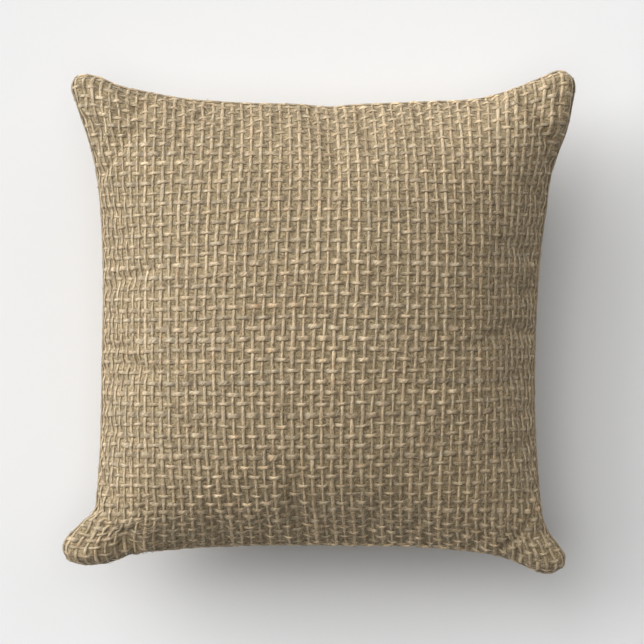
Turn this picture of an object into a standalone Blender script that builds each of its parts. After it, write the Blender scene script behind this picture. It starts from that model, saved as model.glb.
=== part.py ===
"""Ring bearer pillow: a square hessian cover with a hidden zip in its bottom edge, a cotton
lining, and a loose insert of fibre fill in white ticking.

The pillow lies on its back panel. +Z points up out of the front face, +Y points to its top
edge, and the zip runs along X in its bottom edge. The origin is on the ground under the middle.
Every length is in millimetres until build_object() scales it to metres.
"""

import bmesh
import bpy
import numpy as np
from mathutils import Vector

MM = 0.001
GAP = 0.3  # clearance between neighbouring pieces

# Outer shape
THICKNESS = 76.0
SEAM_HEIGHT = 36.0  # the edge seam stands this high above the ground
BACK_FULLNESS = 44.0  # how far the back would bulge if it did not rest on the ground
HALF_WIDTH = 87.0  # from the middle to the seam, halfway along a side
CROWN_POWER = 2.3  # a higher power keeps the crown flat for longer
CROWN_ROUNDNESS = 0.62  # a lower value makes the faces leave the seam more steeply
RIM_FADE = 8  # how soon an edge's stand-off from the seam plane dies away up the crown
GRID_STEPS = 16  # cells along each side of a panel
SIDE_SAMPLES = 201  # points along a side while it is drawn in
SMOOTHING = 4  # samples to each side that give the seam line's direction
NORMAL_INSET = 4.0  # layers this near the cover are drawn in square to the seam line
INSET_FADE = 6  # how soon the drawing in dies away from the seam
CURVE_SAMPLES = 24  # points from one point of a side to the next
NEARLY_ZERO = 1e-5  # a crown lower than this is on the seam

# The seam line of each side, corner to corner, as (x, y) points on a smooth curve.
# The sides pull in between the four ears, and the bottom is straight where the zip is.
TOP_SIDE = [
    (-97.0, 98.0),
    (-91.0, 98.6),
    (-79.0, 94.0),
    (-52.0, 88.6),
    (0.0, 86.4),
    (52.0, 88.2),
    (77.0, 92.6),
    (95.0, 100.5),
    (100.6, 98.4),
]
BOTTOM_SIDE = [
    (-100.2, -95.2),
    (-91.0, -97.0),
    (-78.0, -94.0),
    (-66.0, -90.2),
    (-56.0, -89.0),
    (0.0, -89.0),
    (56.0, -89.0),
    (66.0, -91.0),
    (80.0, -96.4),
    (91.0, -100.5),
    (97.6, -98.0),
]
LEFT_SIDE = [
    (-97.0, 98.0),
    (-98.8, 94.0),
    (-94.0, 79.8),
    (-88.2, 56.6),
    (-86.0, 8.0),
    (-86.8, -40.0),
    (-90.0, -68.0),
    (-102.4, -91.0),
    (-100.2, -95.2),
]
RIGHT_SIDE = [
    (100.6, 98.4),
    (102.4, 94.4),
    (98.8, 75.0),
    (91.6, 52.6),
    (86.8, 8.0),
    (86.2, -36.0),
    (89.6, -78.0),
    (97.4, -92.6),
    (97.6, -98.0),
]

# Layers, from the outside in: depth under the outer surface and inset from the seam line
SEAM_RIM = 0.15  # from the seam plane to the edge of a panel
COVER_DEPTH, COVER_INSET = 1.6, 1.85
ALLOWANCE_THICKNESS = 1.3
ALLOWANCE_WIDTH = 6.0
LINING_OUTER_DEPTH, LINING_OUTER_INSET = 1.95, 3.1
LINING_INNER_DEPTH, LINING_INNER_INSET = 2.55, 3.9
TICKING_OUTER_DEPTH, TICKING_OUTER_INSET = 3.1, 11.0
TICKING_INNER_DEPTH, TICKING_INNER_INSET = 3.7, 12.0
INSERT_THREAD_INSET = 14.0
FILL_DEPTH, FILL_INSET = 4.2, 16.0

# Zip, in the bottom edge
ZIP_OPENING = 64.0  # half the length over which the panels part round the zip
ZIP_OPENING_END = 73.0  # the panels meet again here
ZIP_OPENING_DEPTH = 0.2  # share of a panel over which the parting dies away from its edge
ZIP_LIP_RISE = 4.0  # from the seam plane to the lip of each panel at the zip
ALLOWANCE_AT_ZIP = 2.4
ZIP_PLANE_Y = -84.4  # the zip lies back behind the lips, so none of it shows from above
TAPE_HALF_LENGTH = 60.0
TAPE_THICKNESS = 0.5
TAPE_EDGE = 2.05  # from the seam plane to the edge of a tape
TAPE_BEND = 4.6
TAPE_TOP = 8.2
TAPE_LEAN = 2.0
TAPE_STITCH_SHARE = 0.5  # the stitching runs this far along the leaning part of a tape
TAPE_STITCH_GAP = 0.4
TAPE_STITCH_POINTS = 9
COIL_HALF_LENGTH = 56.4
COIL_THICKNESS = 1.6
COIL_INNER, COIL_SPINE, COIL_OUTER = 0.55, 1.25, 1.75
TOOTH_PITCH = 2.0
TOOTH_WIDTH = 1.1
STOP_START, STOP_END = 57.0, 59.0
STOP_HALF_DEPTH = 1.0
SLIDER_X = 52.5  # middle of the slider while the zip is closed
PLATE_NEAR, PLATE_FAR = 1.1, 1.9  # faces of each slider plate, from the zip's plane
FLANGE_NEAR = 0.55
FLANGE_INNER = 2.0
UNION_LAP = 0.1  # pieces that are joined into one overlap by this
PIN_OFFSET = 0.55  # from the slider's outer plate to the pull tab's axis
BRIDGE_HALF_LENGTH = 2.2
BRIDGE_THICKNESS = 0.5
BRIDGE_HALF_WIDTH = 0.5
TAB_THICKNESS = 0.56
TAB_EYE_LENGTH = 2.5
TAB_EYE_HALF_WIDTH = 0.85

# Half outlines of the slider's plates, its divider and its tab, as (x, z) from the slider's middle
PLATE_EDGE = [(-4.0, 2.3), (-3.2, 2.5), (0.6, 2.9), (3.0, 3.2), (4.0, 2.5)]
DIVIDER_EDGE = [(0.6, 0.0), (1.6, 0.4), (3.2, 0.4), (3.9, 0.0)]
TAB_EDGE = [
    (-12.0, 1.3),
    (-11.5, 1.9),
    (-10.6, 2.2),
    (-8.0, 1.7),
    (-5.2, 1.2),
    (-3.6, 1.7),
    (-0.4, 1.6),
    (0.28, 1.2),
]

# Threads
THREAD_RADIUS = 0.22
OVERLOCK_RADIUS = 0.4
OVERLOCK_INSET = 7.8
SEAM_THREAD_INSET = 5.6

# Colour, roughness and metallic value of each material
MATERIALS = {
    "hessian": ((0.40, 0.31, 0.20), 0.95, 0.0),
    "lining_cotton": ((0.22, 0.16, 0.09), 0.9, 0.0),
    "ticking": ((0.80, 0.78, 0.73), 0.85, 0.0),
    "fibre_fill": ((0.88, 0.88, 0.86), 0.95, 0.0),
    "thread": ((0.45, 0.36, 0.24), 0.8, 0.0),
    "zip_tape": ((0.33, 0.25, 0.16), 0.85, 0.0),
    "zip_coil": ((0.42, 0.33, 0.21), 0.4, 0.0),
    "antique_brass": ((0.42, 0.30, 0.15), 0.35, 1.0),
}


def clear_scene():
    for item in list(bpy.data.objects):
        bpy.data.objects.remove(item, do_unlink=True)


def material(name):
    found = bpy.data.materials.get(name)
    if found:
        return found
    colour, roughness, metallic = MATERIALS[name]
    made = bpy.data.materials.new(name)
    made.use_nodes = True
    shader = made.node_tree.nodes["Principled BSDF"]
    shader.inputs["Base Color"].default_value = (*colour, 1.0)
    shader.inputs["Roughness"].default_value = roughness
    shader.inputs["Metallic"].default_value = metallic
    made.diffuse_color = (*colour, 1.0)
    return made


def build_object(name, mesh_in_mm, material_name, origin=(0.0, 0.0, 0.0), parent=None):
    """Makes an object from a bmesh in world millimetres, with its own origin at a place."""
    at = Vector(origin)
    for vertex in mesh_in_mm.verts:
        vertex.co = (vertex.co - at) * MM
    bmesh.ops.recalc_face_normals(mesh_in_mm, faces=mesh_in_mm.faces)
    data = bpy.data.meshes.new(name)
    mesh_in_mm.to_mesh(data)
    mesh_in_mm.free()
    made = bpy.data.objects.new(name, data)
    made.data.materials.append(material(material_name))
    bpy.context.scene.collection.objects.link(made)
    made.location = at * MM
    if parent:
        made.parent = parent
        made.location = (at * MM) - parent.matrix_world.translation
    bpy.context.view_layer.update()
    return made


# ---------------------------------------------------------------- the cushion's own surface


def smooth_curve(points):
    """A function from 0..1 to the Catmull-Rom curve through the points, evenly along it."""
    ends = [2 * np.array(points[0]) - points[1], 2 * np.array(points[-1]) - points[-2]]
    knots = np.array([ends[0], *points, ends[1]], float)
    t = np.linspace(0, 1, CURVE_SAMPLES, endpoint=False)[:, None]
    fine = []
    for a, b, c, d in zip(knots, knots[1:], knots[2:], knots[3:]):
        square = 2 * a - 5 * b + 4 * c - d
        cube = 3 * b - a - 3 * c + d
        fine.append(0.5 * (2 * b + (c - a) * t + square * t**2 + cube * t**3))
    line = np.concatenate([*fine, knots[-2:-1]])
    along = np.concatenate([[0], np.cumsum(np.linalg.norm(np.diff(line, axis=0), axis=1))])
    along /= along[-1]

    def place(s):
        return np.stack([np.interp(s, along, line[:, 0]), np.interp(s, along, line[:, 1])], axis=-1)

    return place


SIDES = [smooth_curve(points) for points in (TOP_SIDE, BOTTOM_SIDE, LEFT_SIDE, RIGHT_SIDE)]


def inward_sides():
    """For each side, a function from 0..1 to the plan direction square to the seam line, inwards."""
    even = np.linspace(0, 1, SIDE_SAMPLES)
    top, bottom, left, right = (side(even) for side in SIDES)
    loop = np.concatenate([bottom[:-1], right[::-1][:-1], top[::-1][:-1], left[:-1]])
    run = np.roll(loop, -SMOOTHING, axis=0) - np.roll(loop, SMOOTHING, axis=0)
    inward = np.stack([-run[:, 1], run[:, 0]], axis=1) / np.linalg.norm(run, axis=1)[:, None]
    inward = np.concatenate([inward, inward[:1]])
    span = SIDE_SAMPLES - 1
    bottom, right, top, left = (inward[k * span : (k + 1) * span + 1] for k in range(4))

    def place(values):
        return lambda s: np.stack([np.interp(s, even, values[:, k]) for k in (0, 1)], axis=-1)

    return [place(values) for values in (top[::-1], bottom, left, right[::-1])]


INWARD = inward_sides()


def blended(sides, s, t):
    """The Coons blend of four side functions, which meets each of them along its edge."""
    top, bottom, left, right = sides
    s_, t_ = s[..., None], t[..., None]
    edges = (1 - t_) * bottom(s) + t_ * top(s) + (1 - s_) * left(1 - t) + s_ * right(1 - t)
    low = (1 - s_) * bottom(np.zeros(1)) + s_ * bottom(np.ones(1))
    high = (1 - s_) * top(np.zeros(1)) + s_ * top(np.ones(1))
    return edges - (1 - t_) * low - t_ * high


def inward_direction(s, t):
    """Which way and how strongly a place on a panel moves as its layer is drawn in."""
    top, bottom, left, right = INWARD
    shares = [w[..., None] ** INSET_FADE for w in (t, 1 - t, 1 - s, s)]
    ways = (top(s), bottom(s), left(1 - t), right(1 - t))
    total = sum(share * way for share, way in zip(shares, ways))
    return total / np.maximum(sum(shares), 1)


def plan(s, t, inset):
    """The (x, y) of a place on a panel: s runs left to right and t bottom to top, 0 to 1.

    Beyond NORMAL_INSET the outline shrinks towards the middle, which keeps ears from folding.
    """
    moved = blended(SIDES, s, t) + min(inset, NORMAL_INSET) * inward_direction(s, t)
    return moved * (1 - max(inset - NORMAL_INSET, 0) / HALF_WIDTH)


def crown(s, t):
    """How full the cushion is at a place: 0 all along the seam, and 1 in the middle."""
    fall = [np.maximum(1 - np.abs(2 * w - 1) ** CROWN_POWER, 0.0) for w in (s, t)]
    across, along = (np.maximum(part**CROWN_ROUNDNESS, NEARLY_ZERO) for part in fall)
    full = 1 / (1 / across + 1 / along - 1)
    return np.where(np.minimum(across, along) <= NEARLY_ZERO, 0.0, full)


def zip_share(s, t):
    """1 where the panels part round the zip, and 0 where they meet."""
    x = np.abs(plan(s, t, 0.0)[..., 0])
    along = np.clip((ZIP_OPENING_END - x) / (ZIP_OPENING_END - ZIP_OPENING), 0, 1)
    return along * np.clip(1 - t / ZIP_OPENING_DEPTH, 0, 1) ** 2


def surface(face, s, t, depth, inset, rim, zip_rim=None):
    """Points of one layer of one face. rim is how far its edge stands off the seam plane."""
    edge = np.full(s.shape, float(rim))
    if zip_rim is not None:
        edge = rim + (zip_rim - rim) * zip_share(s, t)
    full = crown(s, t)
    stand_off = edge * (1 - full) ** RIM_FADE
    if face == "front":
        z = SEAM_HEIGHT + stand_off + (THICKNESS - SEAM_HEIGHT - depth) * full
    else:
        bulge = stand_off + (BACK_FULLNESS - depth) * full
        z = SEAM_HEIGHT - np.minimum(bulge, SEAM_HEIGHT - depth)
    return np.concatenate([plan(s, t, inset), z[..., None]], axis=-1)


def panel_grid():
    """s and t of a panel's grid points, closer together near the seam."""
    even = np.linspace(-1, 1, GRID_STEPS + 1)
    across = (1 + np.sin(even * np.pi / 2)) / 2
    return np.meshgrid(across, across, indexing="ij")


def edge_ring():
    """Grid indices round the panel's edge, in order."""
    n = GRID_STEPS
    return (
        [(i, 0) for i in range(n)]
        + [(n, j) for j in range(n)]
        + [(n - i, n) for i in range(n)]
        + [(0, n - j) for j in range(n)]
    )


def add_grid(mesh, points):
    corners = [[mesh.verts.new(p) for p in row] for row in points]
    for i in range(GRID_STEPS):
        for j in range(GRID_STEPS):
            mesh.faces.new(
                (corners[i][j], corners[i + 1][j], corners[i + 1][j + 1], corners[i][j + 1])
            )
    return [corners[i][j] for i, j in edge_ring()]


def add_strip(mesh, ring_a, ring_b):
    for k in range(len(ring_a)):
        m = (k + 1) % len(ring_a)
        mesh.faces.new((ring_a[k], ring_a[m], ring_b[m], ring_b[k]))


def cover_panel(face):
    """A hessian panel: its crowned sheet, and its seam allowance turned in flat inside."""
    s, t = panel_grid()
    turned = SEAM_RIM + ALLOWANCE_THICKNESS
    zip_turned = ZIP_LIP_RISE + ALLOWANCE_THICKNESS
    outer = surface(face, s, t, 0.0, 0.0, SEAM_RIM, ZIP_LIP_RISE)
    inner = surface(face, s, t, COVER_DEPTH, COVER_INSET, turned, zip_turned)
    mesh = bmesh.new()
    outer_ring = add_grid(mesh, outer)
    inner_ring = add_grid(mesh, inner)
    width = ALLOWANCE_WIDTH + (ALLOWANCE_AT_ZIP - ALLOWANCE_WIDTH) * zip_share(s, t)
    places = plan(s, t, NORMAL_INSET)
    places *= (1 - (width - NORMAL_INSET) / HALF_WIDTH)[..., None]
    near, far = (
        [mesh.verts.new((*places[i, j], layer[i, j, 2])) for i, j in edge_ring()]
        for layer in (outer, inner)
    )
    add_strip(mesh, outer_ring, near)
    add_strip(mesh, near, far)
    add_strip(mesh, far, inner_ring)
    return build_object(f"cover_{face}_panel", mesh, "hessian")


def plain_panel(name, face, material_name, outer_layer, inner_layer, rim, zip_rim=None):
    """A thin sheet between two depths, with a flat edge."""
    s, t = panel_grid()
    mesh = bmesh.new()
    rings = [
        add_grid(mesh, surface(face, s, t, depth, inset, rim, zip_rim))
        for depth, inset in (outer_layer, inner_layer)
    ]
    add_strip(mesh, *rings)
    return build_object(name, mesh, material_name)


def lining_panel(face):
    rim = SEAM_RIM + ALLOWANCE_THICKNESS + GAP
    zip_rim = ZIP_LIP_RISE + ALLOWANCE_THICKNESS + GAP
    outer = (LINING_OUTER_DEPTH, LINING_OUTER_INSET)
    inner = (LINING_INNER_DEPTH, LINING_INNER_INSET)
    plain_panel(f"lining_{face}_panel", face, "lining_cotton", outer, inner, rim, zip_rim)


def insert_panel(face):
    outer = (TICKING_OUTER_DEPTH, TICKING_OUTER_INSET)
    inner = (TICKING_INNER_DEPTH, TICKING_INNER_INSET)
    plain_panel(f"insert_{face}_panel", face, "ticking", outer, inner, SEAM_RIM)


def fibre_fill():
    """The stuffing: one closed crowned form whose two faces share their edge."""
    s, t = panel_grid()
    mesh = bmesh.new()
    rings = [
        add_grid(mesh, surface(face, s, t, FILL_DEPTH, FILL_INSET, 0.0)) for face in ("front", "back")
    ]
    pairs = dict(zip(rings[1], rings[0]))
    bmesh.ops.weld_verts(mesh, targetmap=pairs)
    build_object("insert_fibre_fill", mesh, "fibre_fill")


# ------------------------------------------------------------------------------- threads


def outline_places(inset, leave_zip_open):
    """Places round the seam line, drawn in by inset, starting in the middle of the bottom."""
    s, t = panel_grid()
    places = plan(s, t, inset)
    start = GRID_STEPS // 2
    ring = edge_ring()
    ring = ring[start:] + ring[:start]
    if leave_zip_open:
        sewn = zip_share(s, t) == 0
        ring = [(i, j) for i, j in ring if sewn[i, j]]
    return [places[i, j] for i, j in ring]


def thread(name, points, radius, closed, material_name="thread"):
    """A tube along (x, y, z) points."""
    curve = bpy.data.curves.new(name, "CURVE")
    curve.dimensions = "3D"
    curve.bevel_depth = radius * MM
    curve.bevel_resolution = 0
    curve.use_fill_caps = not closed
    curve.materials.append(material(material_name))
    spline = curve.splines.new("POLY")
    spline.points.add(len(points) - 1)
    for point, place in zip(spline.points, points):
        point.co = (*(Vector(place) * MM), 1.0)
    spline.use_cyclic_u = closed
    made = bpy.data.objects.new(name, curve)
    bpy.context.scene.collection.objects.link(made)


def seam_threads():
    """The lockstitch runs on both sides of the allowances, and the overlock on their raw edge."""
    stitched = outline_places(SEAM_THREAD_INSET, leave_zip_open=True)
    rise = SEAM_RIM + ALLOWANCE_THICKNESS + GAP + THREAD_RADIUS
    needle = [(x, y, SEAM_HEIGHT + rise) for x, y in stitched]
    bobbin = [(x, y, SEAM_HEIGHT - rise) for x, y in stitched]
    thread("cover_seam_needle_thread", needle, THREAD_RADIUS, closed=False)
    thread("cover_seam_bobbin_thread", bobbin, THREAD_RADIUS, closed=False)
    raw_edge = outline_places(OVERLOCK_INSET, leave_zip_open=True)
    overlock = [(x, y, SEAM_HEIGHT) for x, y in raw_edge]
    thread("cover_overlock_thread", overlock, OVERLOCK_RADIUS, closed=False)
    sewn = outline_places(INSERT_THREAD_INSET, leave_zip_open=False)
    closing = [(x, y, SEAM_HEIGHT) for x, y in sewn]
    thread("insert_seam_thread", closing, THREAD_RADIUS, closed=True)


# ----------------------------------------------------------------------------------- zip


def prism(outline, axis, low, high):
    """A bmesh of an outline pushed along an axis. The outline gives the other two in order."""
    mesh = bmesh.new()
    others = [k for k in range(3) if k != axis]
    ends = []
    for level in (low, high):
        ring = []
        for a, b in outline:
            place = [0.0, 0.0, 0.0]
            place[others[0]], place[others[1]], place[axis] = a, b, level
            ring.append(mesh.verts.new(place))
        ends.append(ring)
    mesh.faces.new(ends[0])
    mesh.faces.new(ends[1])
    add_strip(mesh, *ends)
    return mesh


def box(low, high):
    corners = [(low[0], low[1]), (high[0], low[1]), (high[0], high[1]), (low[0], high[1])]
    return prism(corners, 2, low[2], high[2])


def apply_boolean(target, tool, operation):
    """Joins or cuts with a tool object, applies it, and removes the tool."""
    modifier = target.modifiers.new(tool.name, "BOOLEAN")
    modifier.object = tool
    modifier.operation = operation
    modifier.solver = "EXACT"
    depsgraph = bpy.context.evaluated_depsgraph_get()
    result = bpy.data.meshes.new_from_object(target.evaluated_get(depsgraph))
    target.modifiers.clear()
    target.data = result
    bpy.data.objects.remove(tool, do_unlink=True)


def up_or_down(face):
    return 1 if face == "front" else -1


def zip_tape(face):
    """A tape, upright behind the lips and leaning in behind the lining."""
    way = up_or_down(face)
    half = TAPE_THICKNESS / 2
    rises = [(0.0, TAPE_EDGE), (0.0, TAPE_BEND), (TAPE_LEAN, TAPE_TOP)]
    outside = [(ZIP_PLANE_Y - half + lean, SEAM_HEIGHT + way * z) for lean, z in rises]
    inside = [(ZIP_PLANE_Y + half + lean, SEAM_HEIGHT + way * z) for lean, z in rises]
    mesh = prism(outside + inside[::-1], 0, -TAPE_HALF_LENGTH, TAPE_HALF_LENGTH)
    build_object(f"zip_tape_{face}", mesh, "zip_tape")


def zip_coil(face):
    """A row of teeth on a spine. The slider's divider passes between the two rows."""
    way = up_or_down(face)
    count = int(2 * COIL_HALF_LENGTH / TOOTH_PITCH)
    first = -TOOTH_PITCH * (count - 1) / 2
    edge = [(-COIL_HALF_LENGTH, COIL_SPINE)]
    for k in range(count):
        middle = first + k * TOOTH_PITCH
        left, right = middle - TOOTH_WIDTH / 2, middle + TOOTH_WIDTH / 2
        edge += [(left, COIL_SPINE), (left, COIL_INNER), (right, COIL_INNER), (right, COIL_SPINE)]
    edge += [(COIL_HALF_LENGTH, COIL_SPINE), (COIL_HALF_LENGTH, COIL_OUTER)]
    edge += [(-COIL_HALF_LENGTH, COIL_OUTER)]
    outline = [(x, SEAM_HEIGHT + way * z) for x, z in edge]
    half = COIL_THICKNESS / 2
    mesh = prism(outline, 1, ZIP_PLANE_Y - half, ZIP_PLANE_Y + half)
    build_object(f"zip_coil_{face}", mesh, "zip_coil")


def zip_stops():
    """One stop on the end of each row where the zip closes, and one across both at the start."""
    near = ZIP_PLANE_Y - STOP_HALF_DEPTH
    far = ZIP_PLANE_Y + STOP_HALF_DEPTH
    for face in ("front", "back"):
        levels = sorted(SEAM_HEIGHT + up_or_down(face) * z for z in (COIL_INNER, COIL_OUTER))
        mesh = box((STOP_START, near, levels[0]), (STOP_END, far, levels[1]))
        build_object(f"zip_top_stop_{face}", mesh, "antique_brass")
    low, high = SEAM_HEIGHT - COIL_OUTER, SEAM_HEIGHT + COIL_OUTER
    mesh = box((-STOP_END, near, low), (-STOP_START, far, high))
    build_object("zip_bottom_stop", mesh, "antique_brass")


def zip_stitching(face):
    """The line of stitches that holds a tape, along the tape's inner side."""
    way = up_or_down(face)
    clear = TAPE_THICKNESS / 2 + TAPE_STITCH_GAP + THREAD_RADIUS
    y = ZIP_PLANE_Y + TAPE_LEAN * TAPE_STITCH_SHARE + clear
    z = SEAM_HEIGHT + way * (TAPE_BEND + (TAPE_TOP - TAPE_BEND) * TAPE_STITCH_SHARE)
    along = np.linspace(-TAPE_HALF_LENGTH, TAPE_HALF_LENGTH, TAPE_STITCH_POINTS)
    thread(f"zip_stitching_{face}", [(x, y, z) for x in along], THREAD_RADIUS, closed=False)


def mirrored(edge):
    """A whole outline on the slider, in world (x, z), from its half outline above the middle."""
    below = [(x, -z) for x, z in reversed(edge) if z > 0]
    return [(SLIDER_X + x, SEAM_HEIGHT + z) for x, z in edge + below]


def zip_slider():
    """Two plates joined by a divider, with flanges that turn in beside the rows, and a bridge."""
    plane = ZIP_PLANE_Y
    near, far = PLATE_NEAR, PLATE_FAR
    at = (SLIDER_X, plane, SEAM_HEIGHT)
    plate = prism(mirrored(PLATE_EDGE), 1, plane + near, plane + far)
    body = build_object("zip_slider_body", plate, "antique_brass", at)
    pieces = [prism(mirrored(PLATE_EDGE), 1, plane - far, plane - near)]
    strip = [(PLATE_EDGE[0][0], FLANGE_INNER), *PLATE_EDGE, (PLATE_EDGE[-1][0], FLANGE_INNER)]
    for way in (1, -1):
        flange = [(SLIDER_X + x, SEAM_HEIGHT + way * z) for x, z in strip]
        pieces.append(prism(flange, 1, plane + FLANGE_NEAR, plane + near + UNION_LAP))
        pieces.append(prism(flange, 1, plane - near - UNION_LAP, plane - FLANGE_NEAR))
    reach = near + UNION_LAP
    pieces.append(prism(mirrored(DIVIDER_EDGE), 1, plane - reach, plane + reach))
    pieces.append(slider_bridge())
    for number, piece in enumerate(pieces):
        tool = build_object(f"slider_piece_{number}", piece, "antique_brass")
        apply_boolean(body, tool, "UNION")
    return body


def slider_bridge():
    """The arch on the outer plate that the pull tab hangs on, as one staple-shaped prism."""
    foot = ZIP_PLANE_Y - PLATE_FAR + UNION_LAP
    under = ZIP_PLANE_Y - PLATE_FAR - 2 * PIN_OFFSET
    over = under - BRIDGE_THICKNESS
    outer, inner = BRIDGE_HALF_LENGTH, BRIDGE_HALF_LENGTH - BRIDGE_THICKNESS
    staple = [
        (-outer, foot),
        (-outer, under),
        (-inner, over),
        (inner, over),
        (outer, under),
        (outer, foot),
        (inner, foot),
        (inner, under),
        (-inner, under),
        (-inner, foot),
    ]
    outline = [(SLIDER_X + x, y) for x, y in staple]
    return prism(outline, 2, SEAM_HEIGHT - BRIDGE_HALF_WIDTH, SEAM_HEIGHT + BRIDGE_HALF_WIDTH)


def zip_pull_tab(slider):
    """The tab, lying back over the closed rows, with its eye round the slider's bridge."""
    axis_y = ZIP_PLANE_Y - PLATE_FAR - PIN_OFFSET
    half = TAB_THICKNESS / 2
    at = (SLIDER_X, axis_y, SEAM_HEIGHT)
    sheet = prism(mirrored(TAB_EDGE), 1, axis_y - half, axis_y + half)
    tab = build_object("zip_pull_tab", sheet, "antique_brass", at, slider)
    eye_end = SLIDER_X - half
    low = (eye_end - TAB_EYE_LENGTH, axis_y - TAB_THICKNESS, SEAM_HEIGHT - TAB_EYE_HALF_WIDTH)
    high = (eye_end, axis_y + TAB_THICKNESS, SEAM_HEIGHT + TAB_EYE_HALF_WIDTH)
    eye = build_object("tab_eye", box(low, high), "antique_brass")
    apply_boolean(tab, eye, "DIFFERENCE")


def main():
    clear_scene()
    for face in ("front", "back"):
        cover_panel(face)
        lining_panel(face)
        insert_panel(face)
        zip_tape(face)
        zip_coil(face)
        zip_stitching(face)
    fibre_fill()
    seam_threads()
    zip_stops()
    slider = zip_slider()
    zip_pull_tab(slider)


main()
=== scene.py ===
"""Ring bearer pillow: the looks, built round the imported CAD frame.

The cover is woven yarn by yarn over a cushion form that a cloth simulation fills. u runs from the
left edge of a panel to its right edge and v from its bottom edge to its top edge, both from 0 to 1
along the yarns. s and t run the same way over the panel as seen from above. Every length is in
millimetres until add_mesh() scales it to metres.
"""

import math

import bpy
import numpy as np
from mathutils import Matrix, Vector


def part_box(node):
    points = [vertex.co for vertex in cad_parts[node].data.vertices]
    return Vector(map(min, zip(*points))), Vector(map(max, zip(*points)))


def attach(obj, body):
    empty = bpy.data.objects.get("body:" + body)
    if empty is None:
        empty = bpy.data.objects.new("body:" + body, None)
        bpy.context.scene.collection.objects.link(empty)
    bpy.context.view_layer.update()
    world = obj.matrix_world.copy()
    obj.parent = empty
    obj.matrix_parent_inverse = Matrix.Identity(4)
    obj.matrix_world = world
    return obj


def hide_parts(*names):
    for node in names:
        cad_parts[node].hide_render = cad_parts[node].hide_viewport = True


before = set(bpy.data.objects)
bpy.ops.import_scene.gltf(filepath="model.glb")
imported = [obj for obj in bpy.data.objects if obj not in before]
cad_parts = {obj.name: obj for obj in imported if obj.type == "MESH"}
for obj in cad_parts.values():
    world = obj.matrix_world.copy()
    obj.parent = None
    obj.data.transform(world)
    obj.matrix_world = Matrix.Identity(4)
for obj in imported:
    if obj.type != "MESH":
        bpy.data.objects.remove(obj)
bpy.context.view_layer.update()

MM = 0.001
TINY = 1e-5
FACES = ("front", "back")
WAY = {"front": 1, "back": -1}  # up or down, which is out of the cushion

# ------------------------------------------------------------------ sizes, in millimetres

PANEL = 203.0  # side of a flat panel, between its seams
WAIST = 174.0  # width of the filled cover halfway along
SEAM_HEIGHT = 36.0
BULGE = {"front": 39.0, "back": 45.0}  # out from the seam, the back's before it rests on the ground
WARP_COUNT = 54
WEFT_COUNT = 51

# The seam line of each side, corner to corner, as (x, y). The sides pull in between the ears.
TOP_SIDE = [
    (-97.0, 97.8), (-92.8, 98.6), (-87.0, 97.2), (-79.0, 93.9), (-67.6, 91.4), (-51.6, 88.7),
    (-30.0, 87.2), (-9.0, 86.7), (3.5, 85.6), (14.0, 86.5), (42.0, 87.7), (62.0, 88.7),
    (76.4, 92.4), (91.6, 98.6), (96.6, 100.2), (100.4, 98.2),
]
BOTTOM_SIDE = [
    (-100.2, -95.2), (-96.0, -96.6), (-90.0, -97.0), (-82.0, -95.5), (-75.6, -92.9), (-66.0, -91.4),
    (-51.6, -90.1), (-30.0, -89.1), (-8.0, -88.8), (14.0, -89.1), (36.0, -89.3), (58.0, -91.1),
    (70.0, -93.0), (80.0, -96.5), (87.0, -99.7), (92.5, -100.5), (97.6, -97.8),
]
LEFT_SIDE = [
    (-97.0, 97.8), (-98.8, 94.0), (-97.0, 87.4), (-90.8, 68.6), (-87.6, 50.0), (-86.1, 20.0),
    (-86.5, -15.0), (-87.2, -48.0), (-88.6, -68.0), (-89.6, -75.4), (-94.0, -79.8), (-100.4, -86.0),
    (-102.3, -90.8), (-100.2, -95.2),
]
RIGHT_SIDE = [
    (100.4, 98.2), (102.3, 94.6), (101.2, 87.0), (99.0, 76.6), (93.0, 60.0), (90.6, 44.0),
    (88.2, 26.0), (86.6, 0.0), (86.0, -30.0), (87.2, -58.0), (89.6, -79.4), (95.4, -89.2),
    (98.2, -93.8), (97.6, -97.8),
]
SIDE_STEPS = 40  # between two given points of a side

CROWN_POWER = 2.3  # how far the fullness reaches out towards the seam
CROWN_ROUNDNESS = 0.62  # how steeply a panel leaves the seam
RIM_FADE = 8  # how soon the rise at the rim is lost in the fullness
SECTION_STEPS = 401
FAN_POWER = 10  # how near the seam the yarns fan out into the ears
FAN_PASSES = 3

ZIP_OPENING = 64.0  # along X, each way from the middle, to where its lips start to meet
ZIP_OPENING_END = 73.0
ZIP_LIP_RISE = 4.2
ZIP_OPENING_DEPTH = 0.2  # share of a panel over which the lips come back to the plain form
FOLD_RISE = 0.8  # from the seam plane to the fold of each panel

GRID = 64  # cells along each side of the simulated panel
REST_CLEARANCE = 0.8  # from the ground to the middle of the cloth
REST_SOFTNESS = 3.0  # how gently the back curves into its flat patch


# ------------------------------------------------------------------ curves and surfaces


def cubic_weights(place, last):
    """The first of four neighbours of each place on a row of points, and their weights."""
    first = np.clip(np.floor(place).astype(int), 0, last - 1)
    f = np.clip(place, 0, last) - first
    return first, (
        0.5 * (-f + 2 * f**2 - f**3),
        0.5 * (2 - 5 * f**2 + 3 * f**3),
        0.5 * (f + 4 * f**2 - 3 * f**3),
        0.5 * (-(f**2) + f**3),
    )


def padded_ends(values, axis):
    """The values with one more at each end of an axis, so that a cubic can reach the ends."""
    values = np.moveaxis(np.asarray(values, float), axis, 0)
    before = 2 * values[:1] - values[1:2]
    after = 2 * values[-1:] - values[-2:-1]
    return np.moveaxis(np.concatenate([before, values, after]), 0, axis)


def along_row(values, place):
    """Cubic interpolation on a row of points: place 0 is the first, and 1 the last."""
    last = len(values) - 1
    first, weights = cubic_weights(np.asarray(place) * last, last)
    ends = padded_ends(values, 0)
    return sum(w[..., None] * ends[first + k] for k, w in enumerate(weights))


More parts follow.
